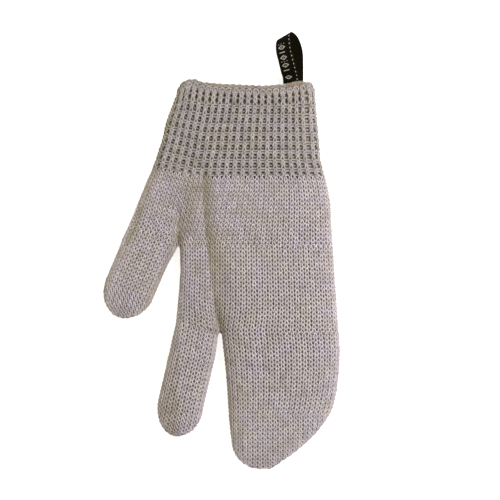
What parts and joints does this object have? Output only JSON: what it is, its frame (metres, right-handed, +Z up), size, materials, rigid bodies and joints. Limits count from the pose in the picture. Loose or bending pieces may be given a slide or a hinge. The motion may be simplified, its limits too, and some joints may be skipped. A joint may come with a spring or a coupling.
{
  "type": "cut resistant glove",
  "caption": "Knitted cut resistant glove lying flat, with a thumb, an index finger and one pouch for the other fingers, a waffle rib cuff and a hang loop.",
  "frame": {"origin": "centre of the flat glove's outline, on the surface it lies on", "axes": "+Z up out of the surface, +Y towards the cuff opening and -Y towards the fingertips, the thumb on the -X side"},
  "size_m": [0.1176, 0.2192, 0.017],
  "materials": {
    "knit": "knitted, matt",
    "cuff_knit": "waffle rib, matt",
    "elastic": "covered elastic thread",
    "tape": "woven tape",
    "pale_thread": "matt thread",
    "tack_thread": "matt thread"
  },
  "bodies": {
    "cuff": {"cuff": "cuff_knit", "cuff_rim": "cuff_knit", "cuff_elastics": "elastic", "wrist": "knit", "loop_tails": "tape", "loop_tack": "tack_thread"},
    "hand": {"lower_palm": "knit", "upper_palm": "knit", "thumb_knuckle": "knit", "index_knuckle": "knit", "pouch_knuckle": "knit"},
    "thumb_lower": {"thumb_lower": "knit", "thumb_joint": "knit"},
    "thumb_tip": {"thumb_tip": "knit"},
    "index_lower": {"index_lower": "knit", "index_joint": "knit"},
    "index_tip": {"index_tip": "knit"},
    "pouch_lower": {"pouch_lower": "knit", "pouch_joint": "knit"},
    "pouch_tip": {"pouch_tip": "knit"},
    "hang_loop": {"hang_loop": "tape", "loop_edge_stitches": "pale_thread", "loop_motifs": "pale_thread"}
  },
  "joints": [
    {"name": "wrist_bend", "type": "hinge", "parent": "cuff", "child": "hand", "pos_m": [0.009, 0.031, 0.0065], "axis": [-1, 0, 0], "range_deg": [0, 60], "deforming": ["wrist"]},
    {"name": "thumb_knuckle_bend", "type": "hinge", "parent": "hand", "child": "thumb_lower", "pos_m": [-0.03656, 0.00229, 0.0059], "axis": [-0.9205, 0.3907, 0], "range_deg": [0, 60], "deforming": ["thumb_knuckle"]},
    {"name": "thumb_middle_bend", "type": "hinge", "parent": "thumb_lower", "child": "thumb_tip", "pos_m": [-0.04399, -0.0152, 0.0059], "axis": [-0.9205, 0.3907, 0], "range_deg": [0, 70], "deforming": ["thumb_joint"]},
    {"name": "index_knuckle_bend", "type": "hinge", "parent": "hand", "child": "index_lower", "pos_m": [-0.01363, -0.04473, 0.0055], "axis": [-0.9744, 0.225, 0], "range_deg": [0, 80], "deforming": ["index_knuckle"]},
    {"name": "index_middle_bend", "type": "hinge", "parent": "index_lower", "child": "index_tip", "pos_m": [-0.01925, -0.06909, 0.0055], "axis": [-0.9744, 0.225, 0], "range_deg": [0, 90], "deforming": ["index_joint"]},
    {"name": "pouch_knuckle_bend", "type": "hinge", "parent": "hand", "child": "pouch_lower", "pos_m": [0.0285, -0.0495, 0.0071], "axis": [-1, 0, 0], "range_deg": [0, 80], "deforming": ["pouch_knuckle"]},
    {"name": "pouch_middle_bend", "type": "hinge", "parent": "pouch_lower", "child": "pouch_tip", "pos_m": [0.0285, -0.0775, 0.0067], "axis": [-1, 0, 0], "range_deg": [0, 80], "deforming": ["pouch_joint"]},
    {"name": "hang_loop_swing", "type": "hinge", "parent": "cuff", "child": "hang_loop", "pos_m": [0.0363, 0.0868, 0.0052], "axis": [1, 0, 0], "range_deg": [0, 55]}
  ]
}
